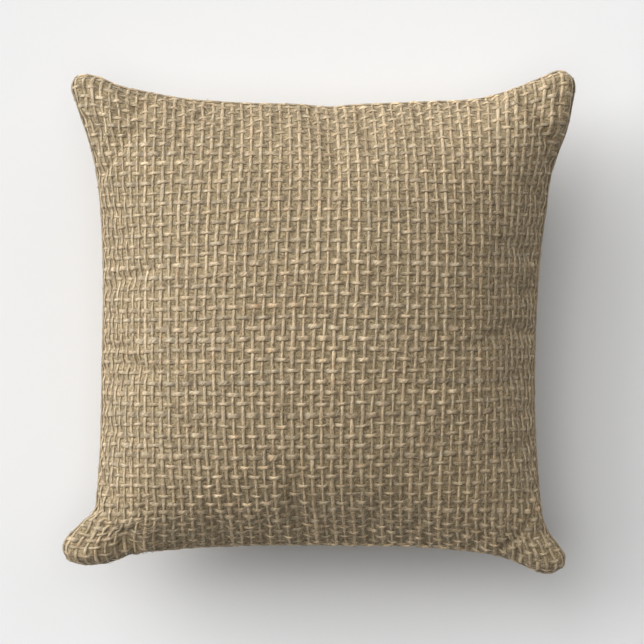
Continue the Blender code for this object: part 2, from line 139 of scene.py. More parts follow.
def on_grid(grid, u, v):
    """Cubic interpolation on a grid of points, at arrays of u and v from 0 to 1."""
    last = len(grid) - 1
    wide = padded_ends(padded_ends(grid, 0), 1)
    i, across = cubic_weights(u * last, last)
    j, up = cubic_weights(v * last, last)
    total = 0
    for a in range(4):
        for b in range(4):
            total = total + (across[a] * up[b])[..., None] * wide[i + a, j + b]
    return total


def grid_places(count):
    even = np.linspace(0, 1, count + 1)
    return np.meshgrid(even, even, indexing="ij")


def eased(x, first, last):
    """0 up to first, 1 from last on, and a smooth rise between them."""
    share = np.clip((x - first) / (last - first), 0, 1)
    return share**2 * (3 - 2 * share)


def unit(vectors):
    return vectors / np.maximum(np.linalg.norm(vectors, axis=-1, keepdims=True), TINY)


def unit_normals(grid):
    return unit(np.cross(np.gradient(grid, axis=0), np.gradient(grid, axis=1)))


def left_of(along):
    """Level directions square to the given ones, to their left."""
    return unit(np.stack([-along[:, 1], along[:, 0], 0 * along[:, 0]], axis=-1))


def distances(points):
    """How far along each line its points are. The lines run along the last axis but one."""
    steps = np.linalg.norm(np.diff(points, axis=-2), axis=-1)
    return np.concatenate([np.zeros_like(steps[..., :1]), np.cumsum(steps, axis=-1)], axis=-1)


# ------------------------------------------------------------------ the form before it is filled


def side_curve(points):
    """A function from 0..1 to the smooth curve through the points, evenly along it."""
    line = along_row(np.array(points), np.linspace(0, 1, SIDE_STEPS * len(points)))
    run = distances(line)
    run /= run[-1]
    return lambda s: np.stack([np.interp(s, run, line[:, k]) for k in (0, 1)], axis=-1)


SIDES = [side_curve(points) for points in (TOP_SIDE, BOTTOM_SIDE, LEFT_SIDE, RIGHT_SIDE)]


def plan(s, t):
    """(x, y) of a place: the Coons blend of the four sides."""
    top, bottom, left, right = SIDES
    s_, t_ = s[..., None], t[..., None]
    edges = (1 - t_) * bottom(s) + t_ * top(s) + (1 - s_) * left(1 - t) + s_ * right(1 - t)
    low = (1 - s_) * bottom(np.zeros(1)) + s_ * bottom(np.ones(1))
    high = (1 - s_) * top(np.zeros(1)) + s_ * top(np.ones(1))
    return edges - (1 - t_) * low - t_ * high


def fullness(w):
    """How full the cushion is along one line across it: 0 at the seams, and 1 halfway."""
    return np.maximum(1 - np.abs(2 * w - 1) ** CROWN_POWER, 0.0) ** CROWN_ROUNDNESS


def crown(s, t):
    """How full the cushion is at a place, from 0 all round the seam to 1 in the middle."""
    across, along = (np.maximum(fullness(w), TINY) for w in (s, t))
    full = 1 / (1 / across + 1 / along - 1)
    return np.where(np.minimum(across, along) <= TINY, 0.0, full)


def zip_share(x, t):
    """1 where the panels part round the zip, and 0 where they meet."""
    along = np.clip((ZIP_OPENING_END - np.abs(x)) / (ZIP_OPENING_END - ZIP_OPENING), 0, 1)
    return along * np.clip(1 - t / ZIP_OPENING_DEPTH, 0, 1) ** 2


def evened(w):
    """Places across a panel that lie evenly along its crowned section, not along its plan."""
    fine = np.linspace(0, 1, SECTION_STEPS)
    width = np.diff(WAIST * fine)
    height = np.diff(BULGE["front"] * fullness(fine))
    run = np.concatenate([[0], np.cumsum(np.hypot(width, height))])
    return np.interp(w, run / run[-1], fine)


def straight(w, first, last, first_mid, last_mid):
    """Places across a panel, from 0 to 1, that keep its yarns straight and fan them out in the ears.

    first and last are where the panel starts and ends here, and first_mid and last_mid the same
    halfway along it.
    """
    target = first_mid + (last_mid - first_mid) * evened(w)
    target = target + (first - first_mid) * (1 - w) ** FAN_POWER
    target = target + (last - last_mid) * w**FAN_POWER
    return np.clip((target - first) / (last - first), 0, 1)


def yarn_places(u, v):
    """s and t of the place where warp u crosses weft v."""
    top, bottom, left, right = SIDES
    half = np.array([0.5])
    across_mid = left(half)[0, 0], right(half)[0, 0]
    upward_mid = bottom(half)[0, 1], top(half)[0, 1]
    s, t = evened(u), evened(v)
    for _ in range(FAN_PASSES):
        across = left(1 - t)[..., 0], right(1 - t)[..., 0]
        upward = bottom(s)[..., 1], top(s)[..., 1]
        s = straight(u, *across, *across_mid)
        t = straight(v, *upward, *upward_mid)
    return s, t


def formed(face, u, v):
    """The middle of a panel's cloth before it is simulated."""
    s, t = yarn_places(u, v)
    flat = plan(s, t)
    full = crown(s, t)
    rim = FOLD_RISE + (ZIP_LIP_RISE - FOLD_RISE) * zip_share(flat[..., 0], t)
    rise = rim * (1 - full) ** RIM_FADE
    z = SEAM_HEIGHT + WAY[face] * rise + WAY[face] * BULGE[face] * full
    return np.concatenate([flat, z[..., None]], axis=-1)


def rested(back, clearance):
    """The back panel, flattened where the cushion rests on the ground."""
    low = back[..., 2] - clearance
    back = back.copy()
    back[..., 2] = clearance + 0.5 * (low + np.sqrt(low**2 + REST_SOFTNESS**2))
    return back


# ------------------------------------------------------------------ meshes


def facing_out(points, quads):
    """The faces of a closed body, turned over together where they face into it."""
    a, b, c, d = (points[quads[:, corner]] for corner in range(4))
    volume = np.sum(np.cross(c - a, d - b) * a)
    return quads if volume >= 0 else quads[:, ::-1]


def add_mesh(name, points, quads):
    """A mesh from points in millimetres and the corner numbers of its quads."""
    points = np.asarray(points, float).reshape(-1, 3)
    quads = facing_out(points, np.asarray(quads))
    data = bpy.data.meshes.new(name)
    data.vertices.add(len(points))
    data.vertices.foreach_set("co", (points * MM).astype(np.float32).ravel())
    data.loops.add(quads.size)
    data.loops.foreach_set("vertex_index", quads.astype(np.int32).ravel())
    data.polygons.add(len(quads))
    starts = np.arange(0, quads.size, quads.shape[1], dtype=np.int32)
    data.polygons.foreach_set("loop_start", starts)
    data.update(calc_edges=True)
    data.validate()
    return data


def add_object(name, data, smooth=True):
    made = bpy.data.objects.new(name, data)
    bpy.context.scene.collection.objects.link(made)
    if smooth:
        data.shade_smooth()
    return made


def add_piece(name, points, quads):
    return add_object(name, add_mesh(name, points, quads))


def grid_quads(rows, columns, close_columns=False):
    """Corner numbers of the quads of a grid of rows x columns points."""
    index = np.arange(rows * columns).reshape(rows, columns)
    if close_columns:
        index = np.concatenate([index, index[:, :1]], axis=1)
    corners = (index[:-1, :-1], index[1:, :-1], index[1:, 1:], index[:-1, 1:])
    return np.stack([corner.ravel() for corner in corners], axis=1)


def ring_cap(sides):
    """Corner numbers of the quads that close a ring of points."""
    return np.array([[k, k + 1, sides - 2 - k, sides - 1 - k] for k in range(sides // 2 - 1)])


def tube_quads(samples, sides):
    """Corner numbers of the quads of a tube, one ring of points after another, with closed ends."""
    cap = ring_cap(sides)
    wall = grid_quads(samples, sides, close_columns=True)
    return np.concatenate([wall, cap[:, ::-1], cap + (samples - 1) * sides])


def edge_ring(count):
    """Numbers of the points round the edge of a square grid, in order."""
    index = np.arange((count + 1) ** 2).reshape(count + 1, count + 1)
    return np.concatenate([index[:-1, 0], index[-1, :-1], index[:0:-1, -1], index[0, :0:-1]])


def closed_sheet(first, second):
    """Points and quads of the closed body between two square grids."""
    count = len(first) - 1
    total = (count + 1) ** 2
    quads = grid_quads(count + 1, count + 1)
    ring = edge_ring(count)
    after = np.roll(ring, -1)
    strip = np.stack([after, ring, ring + total, after + total], axis=1)
    points = np.concatenate([first.reshape(-1, 3), second.reshape(-1, 3)])
    return points, np.concatenate([quads, quads[:, ::-1] + total, strip])


# ------------------------------------------------------------------ the cushion's form, by cloth

START_SHARE = 0.93  # the cloth starts a little flat, because it swells
CLOTH_FRAMES = 20
CLOTH_PRESSURE = 40.0
CLOTH_SLACK = -0.03
MOVE_CAP = 4.0


def started(face):
    """A panel as the simulation starts."""
    points = formed(face, *grid_places(GRID))
    inner = points[1:-1, 1:-1]
    inner[..., 2] = SEAM_HEIGHT + (inner[..., 2] - SEAM_HEIGHT) * START_SHARE
    return points


def simulated(points, quads, held):
    """The points after Blender's Cloth has filled the body, with the held ones where they were."""
    cloth = add_piece("cushion_form", points, quads)
    pinned = cloth.vertex_groups.new(name="seam")
    pinned.add(held.tolist(), 1.0, "REPLACE")
    modifier = cloth.modifiers.new("Cloth", "CLOTH")
    settings = modifier.settings
    settings.vertex_group_mass = "seam"
    settings.quality = 6
    settings.tension_stiffness = 30
    settings.compression_stiffness = 10
    settings.shear_stiffness = 1
    settings.bending_stiffness = 0.3
    settings.use_pressure = True
    settings.uniform_pressure_force = CLOTH_PRESSURE
    settings.shrink_min = CLOTH_SLACK
    settings.effector_weights.gravity = 0
    modifier.collision_settings.use_collision = False
    for step in range(1, CLOTH_FRAMES + 1):
        bpy.context.scene.frame_set(step)
    evaluated = cloth.evaluated_get(bpy.context.evaluated_depsgraph_get()).data
    moved = np.empty(len(points) * 3)
    evaluated.vertices.foreach_get("co", moved)
    bpy.data.objects.remove(cloth)
    bpy.context.scene.frame_set(1)
    return moved.reshape(-1, 3) / MM


def filled(front, back):
    """The two panels after they are filled, with each point's move capped.

    Only the part of a move that is square to the cloth is kept, so that the yarns stay straight.
    """
    count = len(front) - 1
    points, quads = closed_sheet(front, back)
    ring = edge_ring(count)
    held = np.concatenate([ring, ring + (count + 1) ** 2])
    move = simulated(points, quads, held) - points
    normal = np.concatenate([unit_normals(side).reshape(-1, 3) for side in (front, back)])
    move = normal * np.sum(move * normal, axis=-1, keepdims=True)
    size = np.linalg.norm(move, axis=1, keepdims=True)
    move *= MOVE_CAP * np.tanh(size / MOVE_CAP) / np.maximum(size, TINY)
    return (points + move).reshape(2, count + 1, count + 1, 3)


FRONT, BACK = filled(started("front"), started("back"))
PANELS = {"front": FRONT, "back": rested(BACK, REST_CLEARANCE)}
OUTWARD = {face: WAY[face] * unit_normals(PANELS[face]) for face in FACES}


def place_on(face, u, v):
    return on_grid(PANELS[face], np.clip(u, 0, 1), np.clip(v, 0, 1))


# ------------------------------------------------------------------ materials


def new_material(name):
    made = bpy.data.materials.new(name)
    made.use_nodes = True
    return made, made.node_tree, made.node_tree.nodes["Principled BSDF"]


def set_inputs(tree, node, values):
    """Sets inputs of a node, or links them where the value is another node's output."""
    for name, value in values.items():
        if isinstance(value, bpy.types.NodeSocket):
            tree.links.new(value, node.inputs[name])
        else:
            node.inputs[name].default_value = value


def add_node(tree, kind, values, **settings):
    node = tree.nodes.new(kind)
    for name, value in settings.items():
        setattr(node, name, value)
    set_inputs(tree, node, values)
    return node


def object_place(tree):
    return add_node(tree, "ShaderNodeTexCoord", {}).outputs["Object"]


def attribute(tree, name, output):
    return add_node(tree, "ShaderNodeAttribute", {}, attribute_name=name).outputs[output]


def ramp(tree, factor, stops):
    node = add_node(tree, "ShaderNodeValToRGB", {"Fac": factor})
    elements = node.color_ramp.elements
    while len(elements) < len(stops):
        elements.new(0.5)
    for element, (place, colour) in zip(elements, stops):
        element.position = place
        element.color = (*colour, 1.0)
    return node.outputs["Color"]


def multiplied(tree, a, b):
    """The product of two colours. Sockets 6, 7 and 2 of a Mix node are its colour ones."""
    values = {"Factor": 1.0, 6: a, 7: b}
    node = add_node(tree, "ShaderNodeMix", values, data_type="RGBA", blend_type="MULTIPLY")
    return node.outputs[2]


def noise(tree, place, scale, **values):
    sockets = {"Vector": place, "Scale": scale, **values}
    return add_node(tree, "ShaderNodeTexNoise", sockets).outputs["Fac"]


def stretched_noise(tree, place, stretch, detail, roughness):
    scaled = add_node(tree, "ShaderNodeVectorMath", {0: place, 1: stretch}, operation="MULTIPLY")
    return noise(tree, scaled.outputs[0], 1.0, Detail=detail, Roughness=roughness)


def stripes(tree, place, pitch, distortion, direction):
    """Even stripes, a pitch apart."""
    scale = 2 * math.pi / (WAVE_RATE * pitch * MM)
    values = {"Vector": place, "Scale": scale, "Distortion": distortion}
    node = add_node(tree, "ShaderNodeTexWave", values, bands_direction=direction)
    return node.outputs["Fac"]


def in_range(tree, factor, first, last):
    values = {"Value": factor, "To Min": first, "To Max": last}
    return add_node(tree, "ShaderNodeMapRange", values).outputs["Result"]


def bump(tree, height, strength, distance):
    values = {"Height": height, "Strength": strength, "Distance": distance}
    return add_node(tree, "ShaderNodeBump", values).outputs["Normal"]


WAVE_RATE = 20.0  # Blender's wave texture turns this many radians in each unit, at a scale of 1
JUTE = [
    (0.37, (0.270, 0.191, 0.105)),
    (0.46, (0.432, 0.328, 0.197)),
    (0.54, (0.555, 0.438, 0.279)),
    (0.63, (0.668, 0.552, 0.377)),
]
BLOTCHES = [
    (0.34, (0.78, 0.76, 0.72)),
    (0.48, (1.00, 1.00, 1.00)),
    (0.58, (1.03, 1.04, 1.06)),
    (0.70, (1.14, 0.98, 0.82)),
]
PATINA = [(0.32, (0.13, 0.085, 0.04)), (0.5, (0.34, 0.235, 0.11)), (0.68, (0.60, 0.44, 0.23))]
# Darker where the threads dip: painted shade between them
SHADE_BETWEEN_THREADS = [(0.0, (0.82, 0.82, 0.82)), (0.6, (1.0, 1.0, 1.0))]


def yarn_material(name, stops):
    """Spun fibre: streaks along the yarn, from coordinates that follow it, and a tint that holds its own
    lightness and the painted highlight on its humps.
    """
    made, tree, shader = new_material(name)
    place = attribute(tree, "yarn_place", "Vector")
    streaks = stretched_noise(tree, place, (0.55, 2.6, 2.6), detail=5.0, roughness=0.7)
    blotches = stretched_noise(tree, place, (0.45, 0.7, 0.7), detail=3.0, roughness=0.6)
    colour = multiplied(tree, ramp(tree, streaks, stops), ramp(tree, blotches, BLOTCHES))
    set_inputs(tree, shader, {
        "Base Color": multiplied(tree, colour, attribute(tree, "tint", "Color")),
        "Normal": bump(tree, streaks, 0.7, 0.0004),
        "Roughness": 0.58,
        "Sheen Weight": 0.04,
        "Sheen Tint": (0.60, 0.45, 0.27, 1),
        "Specular IOR Level": 0.6,
    })
    return made


def woven_material(name, dark, light, pitch, mottle):
    """Fine plain cloth: two crossing rows of threads, a pitch apart, over mottled colour, with painted
    shade between the threads.
    """
    made, tree, shader = new_material(name)
    place = object_place(tree)
    threads = [stripes(tree, place, pitch, 0.6, direction) for direction in ("X", "Y")]
    values = {0: threads[0], 1: threads[1]}
    height = add_node(tree, "ShaderNodeMath", values, operation="MULTIPLY").outputs[0]
    mottles = noise(tree, place, 1 / (mottle * MM), Detail=5.0, Roughness=0.7)
    colour = ramp(tree, mottles, [(0.38, dark), (0.62, light)])
    set_inputs(tree, shader, {
        "Base Color": multiplied(tree, colour, ramp(tree, height, SHADE_BETWEEN_THREADS)),
        "Normal": bump(tree, height, 0.6, 0.0002),
        "Roughness": 0.9,
        "Specular IOR Level": 0.3,
        "Sheen Weight": 0.15,
    })
    return made


def fibre_material(name, dark, light):
    """Soft white fibre: curls of noise, bright and very rough."""
    made, tree, shader = new_material(name)
    curls = noise(tree, object_place(tree), 160.0, Detail=8.0, Roughness=0.7, Distortion=2.5)
    set_inputs(tree, shader, {
        "Base Color": ramp(tree, curls, [(0.3, dark), (0.6, light)]),
        "Normal": bump(tree, curls, 0.8, 0.001),
        "Roughness": 0.95,
        "Sheen Weight": 0.4,
    })
    return made


def thread_material(name, dark, light):
    """Spun thread: bands that run round it on a slant, as its twisted strands do, with painted shade in
    the grooves between them.
    """
    made, tree, shader = new_material(name)
    strands = stripes(tree, object_place(tree), 0.5, 1.5, "DIAGONAL")
    set_inputs(tree, shader, {
        "Base Color": ramp(tree, strands, [(0.1, dark), (0.7, light)]),
        "Normal": bump(tree, strands, 0.7, 0.00015),
        "Roughness": 0.7,
        "Sheen Weight": 0.2,
    })
    return made


def nylon_material(name, dark, light):
    """Moulded nylon: nearly even colour, with a low gloss that varies."""
    made, tree, shader = new_material(name)
    clouds = noise(tree, object_place(tree), 700.0, Detail=3.0)
    set_inputs(tree, shader, {
        "Base Color": ramp(tree, clouds, [(0.3, dark), (0.7, light)]),
        "Roughness": in_range(tree, clouds, 0.28, 0.5),
    })
    return made


def brass_material(name, stops):
    """Antique brass: dark patina in blotches, and rubbed brighter metal between them."""
    made, tree, shader = new_material(name)
    place = object_place(tree)
    patina = noise(tree, place, 420.0, Detail=6.0, Roughness=0.65)
    scratches = stretched_noise(tree, place, (300.0, 2600.0, 2600.0), detail=2.0, roughness=0.5)
    set_inputs(tree, shader, {
        "Base Color": ramp(tree, patina, stops),
        "Roughness": in_range(tree, patina, 0.55, 0.25),
        "Normal": bump(tree, scratches, 0.25, 0.0001),
        "Metallic": 1.0,
    })
    return made


JUTE_MATERIAL = yarn_material("jute_yarn", JUTE)
LINING_MATERIAL = woven_material("lining_weave", (0.160, 0.116, 0.060), (0.545, 0.428, 0.252), 0.5, 0.9)
TICKING_MATERIAL = woven_material("ticking_weave", (0.72, 0.70, 0.65), (0.84, 0.83, 0.79), 0.45, 20.0)
TAPE_MATERIAL = woven_material("zip_tape_weave", (0.29, 0.22, 0.14), (0.40, 0.31, 0.20), 0.6, 4.0)
FILL_MATERIAL = fibre_material("polyester_fibre", (0.70, 0.70, 0.69), (0.90, 0.90, 0.89))
THREAD_MATERIAL = thread_material("sewing_thread", (0.30, 0.22, 0.13), (0.52, 0.42, 0.28))
COIL_MATERIAL = nylon_material("nylon_coil", (0.36, 0.275, 0.17), (0.46, 0.36, 0.23))
BRASS_MATERIAL = brass_material("antique_brass_patina", PATINA)


def finished(piece, material, node, body="pillow"):
    piece.data.materials.append(material)
    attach(piece, body)
    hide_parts(node)


# ------------------------------------------------------------------ yarns

SAMPLES_PER_CROSSING = 6
YARN_SIDES = 8
TWIST_TURN = 7.0  # length of yarn in which its fibres go once round
FIBRE_SHIFT = 37.0  # from one yarn's fibre pattern to the next one's
UV_LAYER = "OFBake"  # the name of the map that lays out each yarn as one strip
UV_END_MARGIN = 0.002
UV_SIDE_MARGIN = 0.06
NEAR = 0.004  # a small step in u or v
TURN_STEPS = ((0.6, 0.22), (1.5, 0.32), (2.4, 0.32))  # how far in, and how far towards the seam
TURNS = len(TURN_STEPS)
END_FADE = 6.0  # samples over which a yarn's waves start
FOLD_INSET = 0.01  # of the yarn along a fold, in yarn spacings

BOLDNESS_KNOTS, BOLDNESS_SPREAD = 7, 0.28
rng = np.random.default_rng(41)
# How strong the painted highlight on the risen yarns is, on a coarse grid over a panel
BOLDNESS = rng.normal(0, BOLDNESS_SPREAD, (BOLDNESS_KNOTS, BOLDNESS_KNOTS, 1))

# width and height are half of the yarn's own, and crimp is how far it goes up and down. spread
# widens it between its humps and plump thickens it on them, sink keeps it low for longer, and
# droop lowers its two edges. wander is how far it strays, and edge_dip how far it sinks at its ends.
# shade is its lightness, and the last key how much lighter it is painted on its humps: a painted
# highlight there, over the weft's low shade, which is painted shade where it dips.
WARP = {
    "along": "v", "count": WARP_COUNT, "crossed": WEFT_COUNT, "wander": 0.0006, "edge_dip": 0.15,
    "width": 0.66, "spread": 0.0, "height": 0.23, "crimp": 0.10, "sink": 1.0, "plump": 0.0,
    "droop": 0.15, "shade": 0.95, "painted_highlight": 0.0,
}
WEFT = {
    "along": "u", "count": WEFT_COUNT, "crossed": WARP_COUNT, "wander": 0.0011, "edge_dip": 0.15,
    "width": 0.75, "spread": 0.20, "height": 0.14, "crimp": 0.31, "sink": 1.5, "plump": 0.6,
    "droop": 0.22, "shade": 0.60, "painted_highlight": 0.40,
}
# The yarns along the folds are darker than the warps: painted shade along the cushion's edge.
FOLD = {
    "wander": 0.0, "edge_dip": 0.0, "crimp": 0.0, "spread": 0.0, "width": 0.62, "height": 0.30,
    "droop": 0.0, "shade": 0.66,
}
HUMP_FROM, HUMP_TO = -0.20, 0.70  # the painted highlight grows as a yarn rises, between these heights of its wave
CROWN_SHIFT = 0.10  # how far before its crest, in crossings, the painted highlight on a yarn is lightest, on the side towards the lights

# How many knots the noise has along a yarn, and its spread
WANDER_KNOTS = 26
LIFT_NOISE = (60, 0.12)
WIDTH_NOISE = (44, 0.13)
HEIGHT_NOISE = (44, 0.08)
# The next one varies the painted highlight on a yarn's humps.
HIGHLIGHT_NOISE = (14, 0.14)
SHADE_NOISE = (16, 0.06)
WARMTH_NOISE = (10, 0.015)
# The spread from yarn to yarn
YARN_WIDTHS = 0.12
YARN_SHADES = 0.05
# How far the whole weave is pulled out of square, as a share of a panel
LEAN, LEAN_RIPPLE, WEFT_WAVE = 0.004, 0.004, 0.005


def smooth_noise(rows, columns, knots, spread):
    """Rows of smooth noise with the given number of knots, sampled at the given columns."""
    values = rng.normal(0, spread, (knots + 1, rows))
    return along_row(values, np.linspace(0, 1, columns)).T


def noise_by_row(rows, spread):
    """One random number for each row."""
    return smooth_noise(rows, 1, 1, spread)


def drift(u, v):
    """How far the whole weave is pulled out of square at a place, in u and v: slow, uneven waves."""
    lean = LEAN * np.sin(2.2 * v * math.pi + 1.0 + 3 * u) + LEAN_RIPPLE * np.sin(5.1 * u + 6.7 * v)
    wave = WEFT_WAVE * np.sin(2.7 * u * math.pi + 0.6) * np.cos(3.1 * v + 0.4)
    return lean * 16 * (u * (1 - u)) ** 2, wave * 16 * (v * (1 - v)) ** 2


def yarn_lines(face, kind, numbers):
    """u and v along each yarn, with the points of its middle and the directions across it."""
    upright = kind["along"] == "v"
    samples = kind["crossed"] * SAMPLES_PER_CROSSING + 1
    wander = smooth_noise(len(numbers), samples, WANDER_KNOTS, kind["wander"])
    across = (numbers[:, None] + 0.5) / kind["count"] + wander
    run = np.linspace(0, 1, samples)[None, :] + 0 * across
    u, v = (across, run) if upright else (run, across)
    du, dv = drift(u, v)
    u, v = u + du, v + dv
    step_u, step_v = (NEAR, 0) if upright else (0, NEAR)
    side = place_on(face, u + step_u, v + step_v) - place_on(face, u - step_u, v - step_v)
    return u, v, place_on(face, u, v), side


def turned_in(start, inward, face):
    """Points that carry yarn ends over the fold and in along the seam allowance."""
    down = np.array([0, 0, -WAY[face]])
    return [start + inward * reach + down * drop for reach, drop in TURN_STEPS]


def with_turned_ends(face, upright, centre, side):
    """The yarns' points and directions across, carried over the fold at both ends."""
    way_in = 1 if upright else -1
    first = turned_in(centre[:, 0], left_of(side[:, 0]) * way_in, face)
    last = turned_in(centre[:, -1], left_of(side[:, -1]) * -way_in, face)
    centre = np.concatenate([np.stack(first[::-1], 1), centre, np.stack(last, 1)], axis=1)
    return centre, np.pad(side, ((0, 0), (TURNS, TURNS), (0, 0)), mode="edge")


def wave_of(kind, numbers, at, shift=0.0):
    """1 where a yarn passes over one that it crosses, and -1 where it passes under."""
    wave = np.cos(math.pi * (at * kind["crossed"] - 0.5 + numbers[:, None] + shift))
    return wave if kind["along"] == "v" else -wave


def shade_of(kind, numbers, at, u, v):
    """How light each yarn is along its length: a painted highlight on its humps, over painted shade
    where it dips.
    """
    bold = np.pad(on_grid(BOLDNESS, u, v)[..., 0], ((0, 0), (TURNS, TURNS)), mode="edge")
    highlight = kind["painted_highlight"] * np.exp(bold + smooth_noise(len(numbers), len(at), *HIGHLIGHT_NOISE))
    return kind["shade"] + highlight * eased(wave_of(kind, numbers, at, CROWN_SHIFT), HUMP_FROM, HUMP_TO)


def weave(name, face, kind, numbers):
    """A set of yarns of one direction, each one a tube that passes over and under the others."""
    rows = len(numbers)
    upright = kind["along"] == "v"
    u, v, centre, side = yarn_lines(face, kind, numbers)
    centre, side = with_turned_ends(face, upright, centre, side)
    forward = unit(np.gradient(centre, axis=1))
    side = unit(side - forward * np.sum(side * forward, axis=-1, keepdims=True))
    up = np.cross(side, forward) * (1 if (face == "front") == upright else -1)
    total = centre.shape[1]
    at = np.pad(np.linspace(0, 1, total - 2 * TURNS), TURNS, mode="edge")
    wave = wave_of(kind, numbers, at)
    from_end = np.minimum(np.arange(total), np.arange(total)[::-1])
    fade = np.clip(from_end / END_FADE - 0.5, 0, 1)
    raised = 2 * (0.5 + 0.5 * wave) ** kind["sink"] - 1
    lift = kind["crimp"] * raised * fade * (1 + smooth_noise(rows, total, *LIFT_NOISE))
    centre = centre + up * (lift - kind["edge_dip"] * (1 - fade))[..., None]
    width = kind["width"] + kind["spread"] * (1 - wave**2)
    width = width * np.exp(smooth_noise(rows, total, *WIDTH_NOISE) + noise_by_row(rows, YARN_WIDTHS))
    height = kind["height"] * (1 + kind["plump"] * np.maximum(wave, 0) ** 2)
    height = height * np.exp(smooth_noise(rows, total, *HEIGHT_NOISE))
    shade = shade_of(kind, numbers, at, u, v)
    return tube_piece(name, centre, side, up, width, height, shade, droop=kind["droop"])


def tube_piece(name, centre, side, up, width, height, shade, sides=YARN_SIDES, droop=0.0):
    """Tubes with closed ends, one for each row of points, with their fibre coordinates and tint."""
    rows, samples = centre.shape[:2]
    angle = 2 * math.pi * np.arange(sides) / sides
    across = width[..., None] * np.cos(angle)
    over = height[..., None] * np.sin(angle) - droop * np.cos(angle) ** 2
    points = centre[:, :, None] + across[..., None] * side[:, :, None] + over[..., None] * up[:, :, None]
    one = tube_quads(samples, sides)
    data = add_mesh(name, points, np.concatenate([one + row * samples * sides for row in range(rows)]))
    add_fibre_places(data, distances(centre)[..., None], angle, (width + height)[..., None] / 2)
    add_tint(data, shade, rows, samples, sides)
    add_strip_uv(data, rows, samples, sides)
    return add_object(name, data)


def add_attribute(data, name, kind, field, values):
    made = data.attributes.new(name, kind, "POINT")
    made.data.foreach_set(field, values.astype(np.float32).ravel())


def add_fibre_places(data, length, angle, reach):
    """Coordinates that run along each yarn and turn round it with its twist."""
    turn = angle + 2 * math.pi * length / TWIST_TURN
    run = length + FIBRE_SHIFT * np.arange(len(length))[:, None, None] + 0 * turn
    place = np.stack([run, reach * np.cos(turn), reach * np.sin(turn)], axis=-1)
    add_attribute(data, "yarn_place", "FLOAT_VECTOR", "vector", place)


def add_tint(data, shade, rows, samples, sides):
    """A tint that varies along each yarn and from yarn to yarn, in lightness and warmth, on top of the
    given shade with its painted highlight and shade.
    """
    bright = shade * np.exp(smooth_noise(rows, samples, *SHADE_NOISE) + noise_by_row(rows, YARN_SHADES))
    warm = 1 + smooth_noise(rows, samples, *WARMTH_NOISE)
    tint = np.stack([bright * warm, bright, bright / warm, np.ones_like(bright)], axis=-1)
    add_attribute(data, "tint", "FLOAT_COLOR", "color", np.repeat(tint[:, :, None], sides, axis=2))


def add_strip_uv(data, rows, samples, sides):
    """Lays each yarn out as one strip, its length across the map."""
    corner = np.empty(len(data.loops), np.int32)
    data.loops.foreach_get("vertex_index", corner)
    row, rest = np.divmod(corner, samples * sides)
    sample, side = np.divmod(rest, sides)
    by_face = side.reshape(-1, 4)
    wraps = (by_face.max(axis=1) == sides - 1) & (by_face.min(axis=1) == 0)
    side = np.where(np.repeat(wraps, 4) & (side == 0), sides, side)
    along = UV_END_MARGIN + (1 - 2 * UV_END_MARGIN) * sample / (samples - 1)
    across = (row + UV_SIDE_MARGIN + (1 - 2 * UV_SIDE_MARGIN) * side / sides) / rows
    layer = data.uv_layers.new(name=UV_LAYER)
    layer.data.foreach_set("uv", np.stack([along, across], axis=1).astype(np.float32).ravel())


def cover(face):
    """The yarns of a panel: each direction in two halves, and one yarn along each of its folds."""
    for word, kind in (("warp", WARP), ("weft", WEFT)):
        halves = np.array_split(np.arange(kind["count"]), 2)
        folds = np.array([-0.5 + FOLD_INSET, kind["count"] - 0.5 - FOLD_INSET])
        parts = [("1", kind, halves[0]), ("2", kind, halves[1]), ("at_fold", {**kind, **FOLD}, folds)]
        for part, yarns, numbers in parts:
            piece = weave(f"cover_{face}_{word}_{part}", face, yarns, numbers)
            finished(piece, JUTE_MATERIAL, f"cover_{face}_panel")


HAIR_POINTS = 7
HAIR_COUNT = 2600  # in each piece
HAIR_MARGIN = 0.01  # share of a panel along its seam where no fibre starts
HAIR_LENGTH = (2.5, 8.0)
HAIR_RADIUS = (0.05, 0.11)
HAIR_SHADE = (0.50, 1.25)
HAIR_RISE = (-0.1, 0.5)  # above the middle of the cloth
HAIR_RISE_NOISE = (3, 0.30)
HAIR_BEND = 0.38  # radians, from one point to the next
HAIR_TAPER = (0.5, 2.6)  # the part of a half wave that its thickness follows
HAIR_LOWEST = 0.15  # above the ground
HAIR_SIDES = 4


def hairs(face, part):
    """Loose fibres that stand a little off the cloth."""
    start = rng.uniform(HAIR_MARGIN, 1 - HAIR_MARGIN, (HAIR_COUNT, 2))
    length = rng.uniform(*HAIR_LENGTH, (HAIR_COUNT, 1)) / PANEL
    bend = np.cumsum(rng.normal(0, HAIR_BEND, (HAIR_COUNT, HAIR_POINTS)), axis=1)
    angle = rng.uniform(0, 2 * math.pi, (HAIR_COUNT, 1)) + bend
    steps = np.stack([np.cos(angle), np.sin(angle)], axis=-1) * (length / HAIR_POINTS)[..., None]
    path = np.clip(start[:, None] + np.cumsum(steps, axis=1), 0.0, 1.0)
    u, v = path[..., 0], path[..., 1]
    up = on_grid(OUTWARD[face], u, v)
    rise = np.abs(smooth_noise(HAIR_COUNT, HAIR_POINTS, *HAIR_RISE_NOISE))
    rise = rise + rng.uniform(*HAIR_RISE, (HAIR_COUNT, 1))
    centre = place_on(face, u, v) + up * rise[..., None]
    centre[..., 2] = np.maximum(centre[..., 2], HAIR_LOWEST)
    forward = unit(np.gradient(centre, axis=1) + TINY)
    side = unit(np.cross(up, forward))
    up = np.cross(forward, side)
    thick = rng.uniform(*HAIR_RADIUS, (HAIR_COUNT, 1)) * np.sin(np.linspace(*HAIR_TAPER, HAIR_POINTS))
    shade = rng.uniform(*HAIR_SHADE, (HAIR_COUNT, 1)) + 0 * thick
    name = f"cover_{face}_loose_fibres_{part}"
    piece = tube_piece(name, centre, side, up, thick, thick, shade, sides=HAIR_SIDES)
    finished(piece, JUTE_MATERIAL, f"cover_{face}_panel")


for FACE in FACES:
    cover(FACE)
    hairs(FACE, 1)
hairs("front", 2)

# ------------------------------------------------------------------ seam allowance and lining

